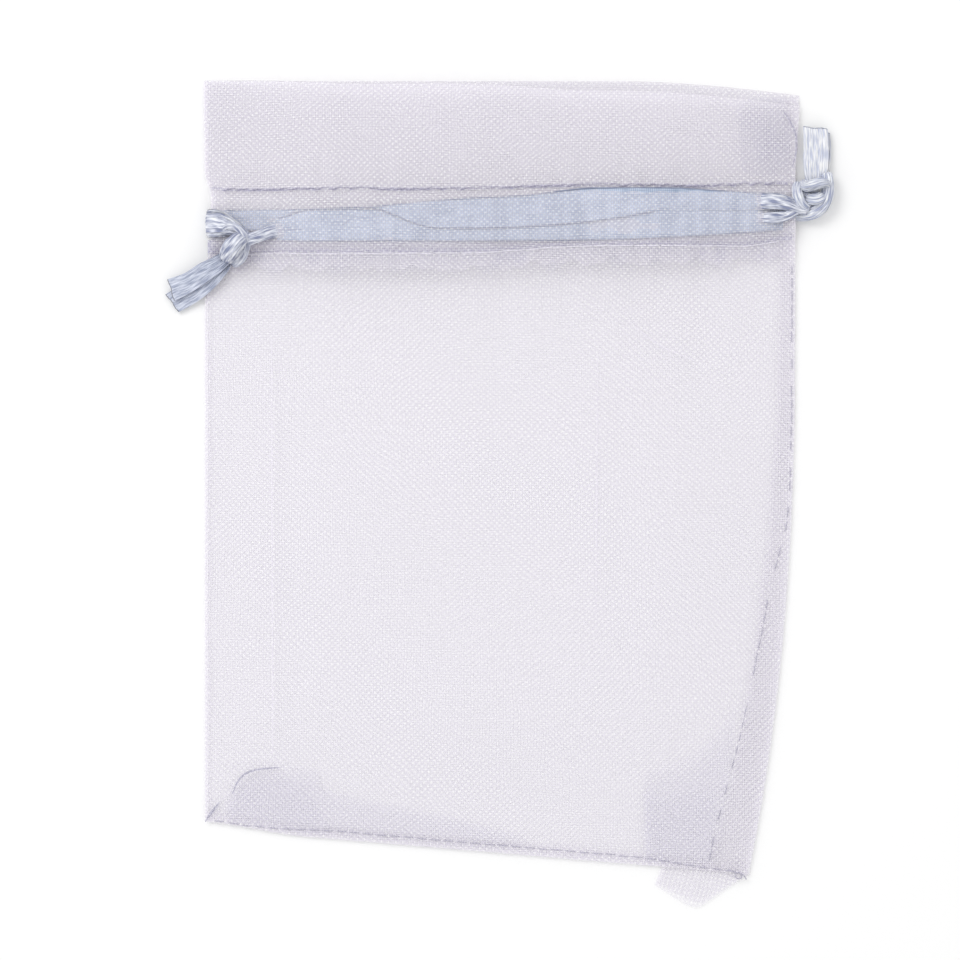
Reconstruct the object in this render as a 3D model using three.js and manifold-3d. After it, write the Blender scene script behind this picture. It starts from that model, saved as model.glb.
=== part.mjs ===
// Drawstring gift pouch of sheer organza, lying on its back panel.
// Millimetres. +X to the pouch's right, +Y towards the mouth, +Z up out of the front panel.
// The origin is on the resting face, at the middle of the back panel.
import * as THREE from "three";
import { mergeVertices } from "three/addons/utils/BufferGeometryUtils.js";
import Module from "manifold-3d";

const wasm = await Module();
wasm.setup();

// ---- cloth ----
const pouchWidth = 92; // side seam to side seam at the mouth
const pouchHeight = 119.7; // bottom seam to top fold, on the centre line
const headerHeight = 16.2; // top fold to the upper row of stitches
const casingHeight = 9; // between the two rows of stitches
const hemTail = 1.2; // turned-in layer below the lower row
const clothThickness = 0.25;
const layerGap = 0.3; // between layers and pieces that touch
const threadSize = 0.4; // needle thread and bobbin thread together
const seamInset = 0.3; // side seam thread from the edge of the cloth
const puff = 5; // how far the front panel stands off the back panel
const flatShare = 0.55; // share of the half width where the puff is full
const riseLength = 26; // bottom seam to full puff
const stitchFall = 0.75; // from a row of stitches to the full height of the casing

// ---- how the pouch lies: its cloth is a little out of square ----
const bottomSkew = 7.8; // the bottom seam drops this much from left to right
const lowerRowSkew = 3.5; // the lower row rises this much from left to right
const upperRowSkew = 2.3;
const mouthDip = 2.7; // the top fold drops this much to its right corner
const dipLength = 26;
const cornerInset = 7.2; // the lower right corner is pulled in
const insetStart = 20.5; // the right side is straight above this height
const insetPower = 2.3;

// ---- drawstrings ----
const ribbonThickness = 0.4;
const ribbonWidth = 5.8; // laid flat, at a cut end
const knotLength = 5.6; // along X
const knotWidth = 5.4; // along Y
const knotHeight = 3.4;
const leftKnotInset = 5.2; // the knot's centre from the left side
const rightKnotDrop = 1.2; // the knot's centre below its ribbon's middle
const slotLength = 4.4; // where the left ribbon leaves the front casing
const exitInset = 5; // the right ribbon leaves the front casing this far from the side
const bightInset = 2.4; // a ribbon turns into the other casing this far from the side
const wrapReach = 1.7; // the left ribbon goes this far round the left side
const leftTailLength = 10.5;
const leftTailAngle = 222.5; // degrees from +X
const rightTailLength = 8.4;
const rightTailWidth = 5;

// ---- seam allowance that sticks out under the lower right corner ----
const flapWidth = 14.5;
const flapDepth = 5.2;

const acrossSteps = 28;

// ---- levels on the centre line ----
const halfWidth = pouchWidth / 2;
const topY = pouchHeight / 2;
const bottomY = -pouchHeight / 2;
const upperRowY = topY - headerHeight;
const lowerRowY = upperRowY - casingHeight;
const hemEndY = lowerRowY - hemTail;
const bodyShares = [0, 0.12, 0.27, 0.45, 0.7, 1];
const bodyLevels = [
  ...bodyShares.map((share) => bottomY + share * riseLength),
  bottomY + 1.8 * riseLength,
  insetStart,
];

// ---- heights: the flat back panel, and the front panel where it meets the side seams ----
const layerStep = clothThickness + layerGap;
const tunnelStep = layerStep + ribbonThickness + layerGap;
const backInnerZ = layerStep;
const backTunnelZ = tunnelStep;
const frontBodyZ = layerStep + threadSize + layerGap;
const frontInnerZ = backTunnelZ + layerStep;
const frontOuterZ = frontInnerZ + layerStep;
const frontTunnelZ = frontInnerZ + tunnelStep;
const frontTopZ = frontTunnelZ + clothThickness;
const backRibbonZ = layerStep + ribbonThickness / 2;
const frontRibbonZ = frontInnerZ + layerStep + ribbonThickness / 2;

// ---- two ribbons, bunched side by side in the casing ----
const casingRoom = casingHeight - 2 * stitchFall;
const runWidth = (casingRoom - 3 * layerGap) / 2;
const leftRunY = lowerRowY + stitchFall + layerGap + runWidth / 2;
const rightRunY = upperRowY - stitchFall - layerGap - runWidth / 2;

const organza = { color: 0xe9e6ef, roughness: 0.6, metalness: 0 };
const satin = { color: 0xc0c6d8, roughness: 0.35, metalness: 0 };
const thread = { color: 0xc9c7d6, roughness: 0.6, metalness: 0 };

const pouch = new THREE.Group();

function addPiece(name, geometry, finish) {
  const mesh = new THREE.Mesh(geometry, new THREE.MeshStandardMaterial(finish));
  mesh.name = name;
  pouch.add(mesh);
}

// ---- shape of the lying pouch ----

const { mapLinear, clamp, smoothstep, degToRad } = THREE.MathUtils;

// How far a level line is off square at x, for a height y on the centre line.
function skewShift(x, y) {
  const across = clamp(x, -halfWidth, halfWidth) / pouchWidth;
  const bottom = -bottomSkew * across;
  const lower = lowerRowSkew * across;
  const upper = upperRowSkew * across;
  const top = -mouthDip * Math.max(0, (x - halfWidth + dipLength) / dipLength);
  if (y < lowerRowY) return mapLinear(y, bottomY, lowerRowY, bottom, lower);
  if (y < upperRowY) return mapLinear(y, lowerRowY, upperRowY, lower, upper);
  return mapLinear(y, upperRowY, topY, upper, top);
}

function rightSide(y) {
  const down = Math.max(0, (insetStart - y) / (insetStart - bottomY));
  return halfWidth - cornerInset * down ** insetPower;
}

// How far the front panel stands proud: full over the middle, nothing at the seams.
function puffHeight(u, y) {
  const across = smoothstep(1 - Math.abs(u), 0, 1 - flatShare);
  const along = smoothstep(y, bottomY, bottomY + riseLength);
  return puff * across * along;
}

// u runs from -1 at the left side to 1 at the right side, y and z are before skew and puff.
function place(u, y, z, onFront) {
  const x = mapLinear(u, -1, 1, -halfWidth, rightSide(y));
  const lift = onFront ? puffHeight(u, y) : 0;
  return new THREE.Vector3(x, y + skewShift(x, y), z + lift);
}

function reshape(geometry, move) {
  const position = geometry.attributes.position;
  const point = new THREE.Vector3();
  for (let i = 0; i < position.count; i++) {
    point.fromBufferAttribute(position, i);
    const moved = move(point);
    position.setXYZ(i, moved.x, moved.y, moved.z);
  }
  return geometry;
}

// A section drawn as [y, z] points, swept from one side of the pouch to the other.
function sweepAcross(section, onFront, inset = 0) {
  const shape = new THREE.Shape(section.map(([y, z]) => new THREE.Vector2(y, z)));
  const span = 2 - 2 * inset;
  const settings = { depth: span, steps: acrossSteps, bevelEnabled: false };
  const geometry = new THREE.ExtrudeGeometry(shape, settings);
  return reshape(geometry, (p) => place(p.z - span / 2, p.x, p.y, onFront));
}

// A box between two [u, y, z] corners that follows the cloth.
function boxOnCloth(low, high, onFront) {
  const size = high.map((value, i) => value - low[i]);
  const middle = high.map((value, i) => (value + low[i]) / 2);
  const geometry = new THREE.BoxGeometry(...size, 6, 1, 1).translate(...middle);
  return reshape(geometry, (p) => place(p.x, p.y, p.z, onFront));
}

// ---- solids for joining and cutting ----

function toSolid(geometry) {
  const bare = geometry.clone();
  bare.deleteAttribute("normal");
  bare.deleteAttribute("uv");
  const merged = mergeVertices(bare, 1e-4);
  return new wasm.Manifold(
    new wasm.Mesh({
      numProp: 3,
      vertProperties: new Float32Array(merged.attributes.position.array),
      triVerts: new Uint32Array(merged.index.array),
    }),
  );
}

function fromSolid(solid) {
  const mesh = solid.getMesh();
  const geometry = new THREE.BufferGeometry();
  geometry.setAttribute("position", new THREE.BufferAttribute(mesh.vertProperties, 3));
  geometry.setIndex(new THREE.BufferAttribute(mesh.triVerts, 1));
  return geometry;
}

function cutAway(geometry, cutters) {
  const start = toSolid(geometry);
  return fromSolid(cutters.reduce((solid, cutter) => solid.subtract(toSolid(cutter)), start));
}

// ---- panels ----

// A panel's section: the outer layer from the bottom seam to the top fold, and the layer
// turned in there. Both are given as the face that looks at the other layer.
function foldedSection(outer, inner, outerIsOnTop) {
  const out = outerIsOnTop ? clothThickness : -clothThickness;
  const outerFace = outer.map(([y, z]) => [y, z + out]);
  const innerFace = inner.map(([y, z]) => [y, z - out]);
  const fold = [
    [topY, outerFace.at(-1)[1]],
    [topY, innerFace.at(-1)[1]],
  ];
  return [...outerFace, ...fold, ...innerFace.reverse(), ...inner, ...outer.reverse()];
}

// A layer's run over the hem and the casing: it stands off between the rows of stitches.
function casingRun(stitchedZ, tunnelZ) {
  return [
    [hemEndY, stitchedZ],
    [lowerRowY, stitchedZ],
    [lowerRowY + stitchFall, tunnelZ],
    [upperRowY - stitchFall, tunnelZ],
    [upperRowY, stitchedZ],
    [topY - clothThickness, stitchedZ],
  ];
}

// The turned-in layers stop short of the sides in the casing, so that a ribbon can turn.
function bightCut(side, lowZ, highZ, onFront) {
  const inner = side * (1 - (bightInset + layerGap + ribbonThickness) / halfWidth);
  const beyond = side * (1 + layerGap / halfWidth);
  const [u0, u1] = [inner, beyond].sort((a, b) => a - b);
  const y0 = lowerRowY + stitchFall / 2;
  const y1 = upperRowY - stitchFall / 2;
  return boxOnCloth([u0, y0, lowZ], [u1, y1, highZ], onFront);
}

function backPanel() {
  const flat = [...bodyLevels, topY - clothThickness].map((y) => [y, clothThickness]);
  const section = foldedSection(flat, casingRun(backInnerZ, backTunnelZ), false);
  const lowZ = clothThickness + layerGap / 2;
  const highZ = backTunnelZ + clothThickness + layerGap / 2;
  const cloth = cutAway(sweepAcross(section, false), [
    bightCut(-1, lowZ, highZ, false),
    bightCut(1, lowZ, highZ, false),
  ]);
  return fromSolid(toSolid(cloth).add(toSolid(cornerFlap())));
}

// Seam allowance, drawn from the lower right corner in shares of its width and depth.
function cornerFlap() {
  const corner = place(1, bottomY, 0, false);
  const shares = [
    [0, 0],
    [-0.06, 0.35],
    [-0.85, 0.55],
    [-0.9, 0],
    [-1, -0.35],
    [-0.66, -0.94],
    [-0.53, -1],
  ];
  const outline = shares.map(
    ([x, y]) => new THREE.Vector2(corner.x + x * flapWidth, corner.y + y * flapDepth),
  );
  const settings = { depth: clothThickness, bevelEnabled: false };
  return new THREE.ExtrudeGeometry(new THREE.Shape(outline), settings);
}

function frontPanel() {
  const body = bodyLevels.map((y) => [y, frontBodyZ]);
  const rise = [hemEndY - 2 * hemTail, frontBodyZ];
  const outer = [...body, rise, ...casingRun(frontOuterZ, frontTunnelZ)];
  const innerZ = frontInnerZ + clothThickness;
  const inner = [hemEndY, topY - clothThickness].map((y) => [y, innerZ]);
  const exitHalf = runWidth / 2 + layerGap;
  const overZ = frontTopZ + layerGap;
  const underZ = frontTunnelZ - layerGap / 2;
  const slotStart = -1 + (leftKnotInset + knotLength / 2 - layerGap) / halfWidth;
  const slotEnd = slotStart + slotLength / halfWidth;
  const exitStart = 1 - exitInset / halfWidth;
  const exitEnd = 1 + layerGap / halfWidth;
  return cutAway(sweepAcross(foldedSection(outer, inner, true), true), [
    bightCut(-1, frontInnerZ - layerGap / 2, underZ - layerGap, true),
    bightCut(1, frontInnerZ - layerGap / 2, underZ - layerGap, true),
    boxOnCloth(
      [slotStart, leftRunY - exitHalf, underZ],
      [slotEnd, leftRunY + exitHalf, overZ],
      true,
    ),
    boxOnCloth(
      [exitStart, rightRunY - exitHalf, underZ],
      [exitEnd, rightRunY + exitHalf, overZ],
      true,
    ),
  ]);
}

// ---- sewing threads ----

function rowThread(y, z, onFront) {
  const half = threadSize / 2;
  const section = [
    [y - half, z],
    [y + half, z],
    [y + half, z + threadSize],
    [y - half, z + threadSize],
  ];
  return sweepAcross(section, onFront, 0.01);
}

function sideThread(side, fromY, toY, z) {
  const length = toY - fromY;
  const geometry = new THREE.BoxGeometry(threadSize, length, threadSize, 1, 12, 1);
  geometry.translate(-side * (seamInset + threadSize / 2), (fromY + toY) / 2, 0);
  return reshape(geometry, (p) => {
    const edge = place(side, p.y, z + threadSize / 2 + p.z, false);
    return edge.setX(edge.x + p.x);
  });
}

// ---- drawstrings ----

// A strip of ribbon on a route of [along, z] points, as wide as width in the other way.
function strip(route, width) {
  const points = route.map(([a, z]) => new THREE.Vector2(a, z));
  const half = ribbonThickness / 2;
  const offset = (point, i, sign) => {
    const before = points[Math.max(i - 1, 0)];
    const after = points[Math.min(i + 1, points.length - 1)];
    const along = new THREE.Vector2().subVectors(after, before).normalize();
    return new THREE.Vector2(-along.y, along.x).multiplyScalar(sign * half).add(point);
  };
  const upper = points.map((point, i) => offset(point, i, 1));
  const lower = points.map((point, i) => offset(point, i, -1));
  const shape = new THREE.Shape([...upper, ...lower.reverse()]);
  const settings = { depth: width, steps: 1, bevelEnabled: false };
  const geometry = new THREE.ExtrudeGeometry(shape, settings);
  geometry.translate(0, 0, -width / 2);
  return geometry.rotateX(Math.PI / 2);
}

const frontStrandZ = (x) => frontRibbonZ + puffHeight(x / halfWidth, leftRunY);

// The stretch in the front casing, from left to right, between two x values.
function frontStretch(fromX, toX) {
  const route = [[fromX, frontStrandZ(fromX)]];
  for (let i = 0; i <= acrossSteps; i++) {
    const x = mapLinear(i, 0, acrossSteps, -halfWidth, halfWidth);
    if (x > fromX + 1 && x < toX - 1) route.push([x, frontStrandZ(x)]);
  }
  route.push([toX, frontStrandZ(toX)]);
  return route;
}

// The turn from the front casing into the back casing, inside one side of the pouch.
function bight(side) {
  const x = side * (halfWidth - bightInset);
  const high = frontStrandZ(x);
  const radius = (high - backRibbonZ) / 2;
  const turn = [0.2, 0.4, 0.6, 0.8].map((share) => share * Math.PI);
  const middle = (high + backRibbonZ) / 2;
  return turn.map((a) => [x + side * radius * Math.sin(a), middle + radius * Math.cos(a)]);
}

const inCasing = (runY) => (p) => new THREE.Vector3(p.x, runY + p.y + skewShift(p.x, runY), p.z);

const leftKnotX = -halfWidth + leftKnotInset;
const leftKnotZ =
  frontTopZ + puffHeight(leftKnotX / halfWidth, leftRunY) + layerGap + knotHeight / 2;
const rightKnotX = halfWidth + layerGap + knotLength / 2;
const rightKnotZ = layerGap + knotHeight / 2;
const rightKnotY = rightRunY + skewShift(halfWidth, rightRunY) - rightKnotDrop;
const leftKnotY = leftRunY + skewShift(leftKnotX, leftRunY);

function leftRibbon() {
  const knotRight = leftKnotX + knotLength / 2 + layerGap;
  const knotLeft = leftKnotX - knotLength / 2 - layerGap;
  const slotEndX = leftKnotX + knotLength / 2 - layerGap + slotLength;
  const turnX = halfWidth - bightInset;
  const wrapHeight = leftKnotZ - backRibbonZ;
  const wrap = [0.15, 0.35, 0.55, 0.75, 0.9].map((share) => {
    const swing = Math.sin(share * Math.PI) ** 0.7;
    return [-halfWidth - wrapReach * swing, backRibbonZ + share ** 1.3 * wrapHeight];
  });
  const route = [
    [knotRight, leftKnotZ - layerGap],
    ...frontStretch(slotEndX - layerGap, turnX),
    ...bight(1),
    [turnX, backRibbonZ],
    [-halfWidth + layerGap, backRibbonZ],
    ...wrap,
    [knotLeft, leftKnotZ],
  ];
  return reshape(strip(route, runWidth), inCasing(leftRunY));
}

function rightRibbon() {
  const turnX = -halfWidth + bightInset;
  const endX = rightKnotX - knotLength / 2 - layerGap / 2;
  const route = [
    ...frontStretch(turnX, halfWidth - layerGap).reverse(),
    ...bight(-1),
    [turnX, backRibbonZ],
    [endX, backRibbonZ],
  ];
  return reshape(strip(route, runWidth), inCasing(rightRunY));
}

function knot(x, y, z) {
  const geometry = new THREE.SphereGeometry(0.5, 16, 10);
  return geometry.scale(knotLength, knotWidth, knotHeight).translate(x, y, z);
}

// A free end of ribbon: from startWidth at the knot to endWidth at the cut.
function tail(route, startWidth, endWidth, angle, root) {
  const first = route[0][0];
  const last = route.at(-1)[0];
  const geometry = reshape(strip(route, 1), (p) => {
    const width = mapLinear(p.x, first, last, startWidth, endWidth);
    return new THREE.Vector3(p.x, p.y * width, p.z);
  });
  return geometry.rotateZ(degToRad(angle)).translate(root.x, root.y, 0);
}

// The lower tail comes down on the surface, and the upper one lies on it.
function tailPair(side, settings) {
  const { start, length, high, angle, widths, root } = settings;
  const lowest = layerGap + ribbonThickness / 2;
  const step = ribbonThickness + 1.6 * layerGap;
  [0, 1].forEach((layer) => {
    const route = [0, 0.12, 0.3, 0.5, 0.72, 1].map((share) => {
      const fall = smoothstep(share, -0.25, 0.95);
      return [start + share * length, lowest + (high - lowest) * (1 - fall) + layer * step];
    });
    const name = `${side}_tail_${layer ? "upper" : "lower"}`;
    addPiece(name, tail(route, ...widths, angle, root), satin);
  });
}

// ---- the pouch ----

addPiece("back_panel", backPanel(), organza);
addPiece("front_panel", frontPanel(), organza);

const onFrontRow = frontOuterZ + clothThickness + layerGap;
const onBackRow = backInnerZ + clothThickness + layerGap;
addPiece("front_casing_upper_thread", rowThread(upperRowY, onFrontRow, true), thread);
addPiece("front_casing_lower_thread", rowThread(lowerRowY, onFrontRow, true), thread);
addPiece("back_casing_upper_thread", rowThread(upperRowY, onBackRow, false), thread);
addPiece("back_casing_lower_thread", rowThread(lowerRowY, onBackRow, false), thread);
addPiece("bottom_seam_thread", rowThread(bottomY + 2 * threadSize, layerStep, false), thread);

for (const [name, side] of [
  ["left", -1],
  ["right", 1],
]) {
  const seam = sideThread(side, bottomY + 4 * threadSize, hemEndY - hemTail, layerStep);
  const header = sideThread(side, upperRowY + 4 * threadSize, topY - hemTail, onBackRow);
  addPiece(`${name}_side_seam_thread`, seam, thread);
  addPiece(`${name}_header_seam_thread`, header, thread);
}

addPiece("left_ribbon", leftRibbon(), satin);
addPiece("right_ribbon", rightRibbon(), satin);
addPiece("left_knot", knot(leftKnotX, leftKnotY, leftKnotZ), satin);
addPiece("right_knot", knot(rightKnotX, rightKnotY, rightKnotZ), satin);

tailPair("left", {
  start: knotLength / 2 + 2 * layerGap,
  length: leftTailLength,
  high: leftKnotZ,
  angle: leftTailAngle,
  widths: [ribbonWidth / 2, ribbonWidth],
  root: { x: leftKnotX, y: leftKnotY - knotWidth / 4 },
});
tailPair("right", {
  start: knotWidth / 2 + 2 * layerGap,
  length: rightTailLength,
  high: rightKnotZ,
  angle: 90,
  widths: [rightTailWidth * 0.8, rightTailWidth],
  root: { x: halfWidth + layerGap + rightTailWidth / 2, y: rightKnotY },
});

export default pouch;
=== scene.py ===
# Drawstring gift pouch of sheer organza with two satin ribbons, lying flat on a white table.
import math

import bpy
import numpy as np
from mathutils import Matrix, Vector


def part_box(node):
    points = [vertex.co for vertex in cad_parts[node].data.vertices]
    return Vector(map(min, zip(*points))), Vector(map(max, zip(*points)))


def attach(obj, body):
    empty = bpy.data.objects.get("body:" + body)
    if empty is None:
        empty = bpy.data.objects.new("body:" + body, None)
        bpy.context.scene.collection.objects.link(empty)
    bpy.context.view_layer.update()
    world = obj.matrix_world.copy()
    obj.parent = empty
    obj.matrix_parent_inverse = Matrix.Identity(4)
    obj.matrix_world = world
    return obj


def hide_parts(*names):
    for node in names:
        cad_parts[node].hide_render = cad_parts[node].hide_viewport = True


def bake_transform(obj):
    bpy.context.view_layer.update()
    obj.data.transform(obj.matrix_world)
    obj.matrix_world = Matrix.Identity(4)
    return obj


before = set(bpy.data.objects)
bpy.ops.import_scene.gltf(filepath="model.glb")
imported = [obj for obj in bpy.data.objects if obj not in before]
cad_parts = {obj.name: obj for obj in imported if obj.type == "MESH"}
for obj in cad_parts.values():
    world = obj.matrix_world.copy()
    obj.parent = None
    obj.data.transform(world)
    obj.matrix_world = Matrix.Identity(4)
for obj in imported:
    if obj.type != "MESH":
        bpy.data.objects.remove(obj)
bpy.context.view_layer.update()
MM = 0.001

# ---------------- sizes, in millimetres


def node_box(name):
    low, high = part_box(name)
    return np.array(low) / MM, np.array(high) / MM


panel_low, panel_high = node_box("front_panel")
HALF = panel_high[0]
TOP = panel_high[1]
BOTTOM = -TOP
LOWER_ROW = node_box("front_casing_lower_thread")[0][1] + 1.95
UPPER_ROW = node_box("front_casing_upper_thread")[0][1] + 1.34
LEVELS = np.array([BOTTOM, LOWER_ROW, UPPER_ROW, TOP])
HEM_TAIL = 2.4  # the turned-in layer ends this far below the lower row
HEM_END = LOWER_ROW - HEM_TAIL
CORNER_INSET = HALF - node_box("bottom_seam_thread")[1][0] - 0.2
INSET_START = 20.5
INSET_POWER = 2.3
CASING_NOTCH = 1.0  # the left side is drawn in a little at the casing
HEADER_FLARE = 0.65  # the header is wider than the casing at the right

PUFF = 2.7  # the front panel's rise in the middle
FLAT_SHARE = 0.5  # share of the width over which it keeps that rise
RISE = 24.0  # length over which it rises from the bottom seam
WEAVE_PITCH = 0.36  # from thread to thread

# Layer heights at the side seams: table, back panel, its turned-in layer, then the front.
BACK = 0.15
BACK_HEM, BACK_TUNNEL = 0.4, 1.05
BACK_RIBBON = 0.6
FRONT_BODY = 0.75
FRONT_HEM, FRONT_HEM_TUNNEL = 0.85, 1.3
FRONT_OUTER, FRONT_TUNNEL = 1.15, 2.2
FRONT_RIBBON = 1.75

rng = np.random.default_rng(7)


def smooth(t):
    c = np.clip(t, 0, 1)
    return c * c * (3 - 2 * c)


# ---------------- how the pouch lies

# Each line's height over its nominal one at the far left, then its steps: rise, start and width.
LOWER_LINE = (-1.78, (1.18, -8, 24), (1.0, 37, 9))
UPPER_LINE = (-0.8, (0.55, -4, 13), (0.45, 32, 14))
FRONT_TOP_LINE = (0.0, (-0.5, -40, 20), (-1.1, -6, 22))
BOTTOM_SLOPE = 0.085
TOP_FALL, TOP_FALL_START, TOP_FALL_WIDTH = 2.2, 18, 28


def stepped(x, line):
    return line[0] + sum(rise * smooth((x - start) / width) for rise, start, width in line[1:])


def level_lines(x, front=False):
    """The heights of bottom seam, lower row, upper row and top fold at x."""
    bottom = BOTTOM - 0.35 - BOTTOM_SLOPE * x + 1.0 * smooth((-30 - x) / 16)
    top = TOP - TOP_FALL * np.clip((x - TOP_FALL_START) / TOP_FALL_WIDTH, 0, 1.05) ** 1.7
    if front:
        top = top + stepped(x, FRONT_TOP_LINE)
    return bottom, LOWER_ROW + stepped(x, LOWER_LINE), UPPER_ROW + stepped(x, UPPER_LINE), top


def on_level(x, y, front=False):
    """Where a nominal height y on the centre line lies at x."""
    lines = level_lines(x, front)
    limits = (-np.inf, LOWER_ROW, UPPER_ROW, np.inf)
    out = np.zeros(np.broadcast(x, y).shape)
    for i in range(3):
        share = (y - LEVELS[i]) / (LEVELS[i + 1] - LEVELS[i])
        inside = (y > limits[i]) & (y <= limits[i + 1])
        out = np.where(inside, lines[i] + share * (lines[i + 1] - lines[i]), out)
    return out


def header_share(y):
    """0 at the upper row, 1 at the top fold."""
    return smooth((y - UPPER_ROW) / (TOP - UPPER_ROW))


def left_side(y):
    notch = smooth((y - LOWER_ROW + 3) / 4) * smooth((UPPER_ROW + 3 - y) / 4)
    return -HALF + 0.1 + CASING_NOTCH * notch - 0.2 * HEADER_FLARE * header_share(y)


def right_side(y):
    down = np.clip((INSET_START - y) / (INSET_START - BOTTOM), 0, 1.1)
    return HALF - 0.1 - CORNER_INSET * down**INSET_POWER + HEADER_FLARE * header_share(y)


def lift(u, y):
    """How far the front panel stands off the back panel."""
    across = smooth((1 - np.abs(u)) / (1 - FLAT_SHARE))
    along = smooth((y - BOTTOM) / RISE)
    mouth = 1 - 0.25 * smooth((y - UPPER_ROW) / (TOP - UPPER_ROW))
    return PUFF * across * along * mouth


def waves(x, y, seed, count, low, high, tilt):
    """A smooth random field, made of a few sine waves of low to high millimetres."""
    draw = np.random.default_rng(seed)
    total = np.zeros(np.broadcast(x, y).shape)
    for _ in range(count):
        length = draw.uniform(low, high)
        turn = draw.uniform(-tilt, tilt)
        phase = draw.uniform(0, 2 * math.pi)
        along = x * math.cos(turn) + y * math.sin(turn)
        total += np.sin(2 * math.pi * along / length + phase)
    return total / math.sqrt(count)


def wrinkles(x, y):
    """The small folds of the front panel."""
    edge = smooth((HALF - np.abs(x)) / 12) * smooth((y - BOTTOM) / 10)
    broad = 0.16 * waves(x, y, 11, 5, 22, 45, 3.1) * edge
    lower, upper = level_lines(x)[1:3]
    pucker = 0.10 * waves(x, y, 12, 4, 2.6, 5.5, 0.15)
    near_rows = np.exp(-np.abs(y - lower) / 3.5) + np.exp(-np.abs(y - upper) / 3.0)
    hang = 0.13 * waves(x, y, 13, 4, 6, 13, 0.12)
    below = np.exp(-np.clip(lower - y, 0, None) / 16) * (y < lower + 1)
    return broad + pucker * near_rows + hang * below * edge


def scallops(x):
    """The upper row is pulled into small uneven scallops."""
    reach = 0.55 + 0.45 * waves(x, 0, 15, 3, 11, 26, 0.0)
    return 0.30 * reach * np.abs(np.sin(math.pi * x / 4.3 + waves(x, 0, 14, 3, 9, 18, 0.0)))


def upper_ridge(x, y):
    """The cloth is nipped up along the upper row."""
    upper = level_lines(x)[2] + scallops(x)
    return 0.42 * np.exp(-(((y - upper - 0.15) / 0.42) ** 2))


def x_to_across(x, y):
    """-1 at the left side and 1 at the right side."""
    return 2 * (x - left_side(y)) / (right_side(y) - left_side(y)) - 1


def across_to_x(u, y):
    return left_side(y) + (u + 1) / 2 * (right_side(y) - left_side(y))


# ---------------- meshes


def grid(points, uv, ring=False, capped=False):
    """Faces over a grid of points in millimetres: its points, faces and a UV for each corner."""
    rows, columns = points.shape[:2]
    i, j = np.meshgrid(np.arange(rows - 1), np.arange(columns - (not ring)), indexing="ij")
    after = j + 1
    corners = np.stack([i * columns + j, i * columns + after % columns,
                        (i + 1) * columns + after % columns, (i + 1) * columns + j], axis=-1)
    if ring:
        uv = np.concatenate([uv, 2 * uv[:, -1:] - uv[:, -2:-1]], axis=1)
    across = uv.shape[1]
    uv_index = np.stack([i * across + j, i * across + after,
                         (i + 1) * across + after, (i + 1) * across + j], axis=-1)
    verts = points.reshape(-1, 3)
    faces = corners.reshape(-1, 4).tolist()
    corner_uv = uv.reshape(-1, 2)[uv_index.reshape(-1)]
    if capped:
        count = rows * columns
        middles = np.stack([points[0].mean(0), points[-1].mean(0)])
        verts = np.concatenate([verts, middles])
        last = (rows - 1) * columns
        for k in range(columns):
            near = (k + 1) % columns
            faces.append([near, k, count])
            faces.append([last + k, last + near, count + 1])
        corner_uv = np.concatenate([corner_uv, np.tile(uv[0, 0], (6 * columns, 1))])
    return verts, faces, corner_uv


def place(name, data):
    obj = bpy.data.objects.new(name, data)
    bpy.context.scene.collection.objects.link(obj)
    return obj


def solid(name, parts, material, fade=None):
    """One object of several parts, each its points, faces and UVs. fade is 1 unless given."""
    verts, faces, uvs = [], [], []
    start = 0
    for part_verts, part_faces, part_uv in parts:
        verts.append(part_verts)
        faces += [[start + k for k in face] for face in part_faces]
        uvs.append(part_uv)
        start += len(part_verts)
    mesh = bpy.data.meshes.new(name)
    mesh.from_pydata((np.concatenate(verts) * MM).tolist(), [], faces)
    layer = mesh.uv_layers.new(name="cloth")
    layer.data.foreach_set("uv", np.concatenate(uvs).reshape(-1))
    mesh.polygons.foreach_set("use_smooth", [True] * len(mesh.polygons))
    if material in FADING:
        weight = mesh.attributes.new("fade", "FLOAT", "POINT")
        weight.data.foreach_set("value", np.ones(start) if fade is None else fade)
    mesh.materials.append(material)
    return place(name, mesh)


def joined(*columns):
    """Points or UVs from their coordinates, each of which may be one number for all."""
    return np.stack(np.broadcast_arrays(*columns), axis=-1)


def distances(line):
    """How far along a line each of its points is."""
    return np.concatenate([[0], np.cumsum(np.linalg.norm(np.diff(line, axis=0), axis=1))])


def sampled(line, marks, at):
    """Points along a line, where marks gives a value for each of its own points."""
    return joined(*[np.interp(at, marks, column) for column in line.T])


def smooth_path(points, step=0.12):
    """A Catmull-Rom curve through some points, in even steps."""
    p = np.asarray(points, float)
    p = np.concatenate([[2 * p[0] - p[1]], p, [2 * p[-1] - p[-2]]])
    t = np.linspace(0, 1, 24, endpoint=False)[:, None]
    runs = []
    for a, b, c, d in zip(p, p[1:], p[2:], p[3:]):
        runs.append(0.5 * (2 * b + (c - a) * t + (2 * a - 5 * b + 4 * c - d) * t**2
                           + (3 * b - a - 3 * c + d) * t**3))
    curve = np.concatenate([*runs, [p[-2]]])
    length = distances(curve)
    return sampled(curve, length, np.linspace(0, length[-1], max(6, int(length[-1] / step))))


def even(line, count):
    """count points along a line of points, by their order in it."""
    return sampled(line, np.linspace(0, 1, len(line)), np.linspace(0, 1, count))


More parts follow.
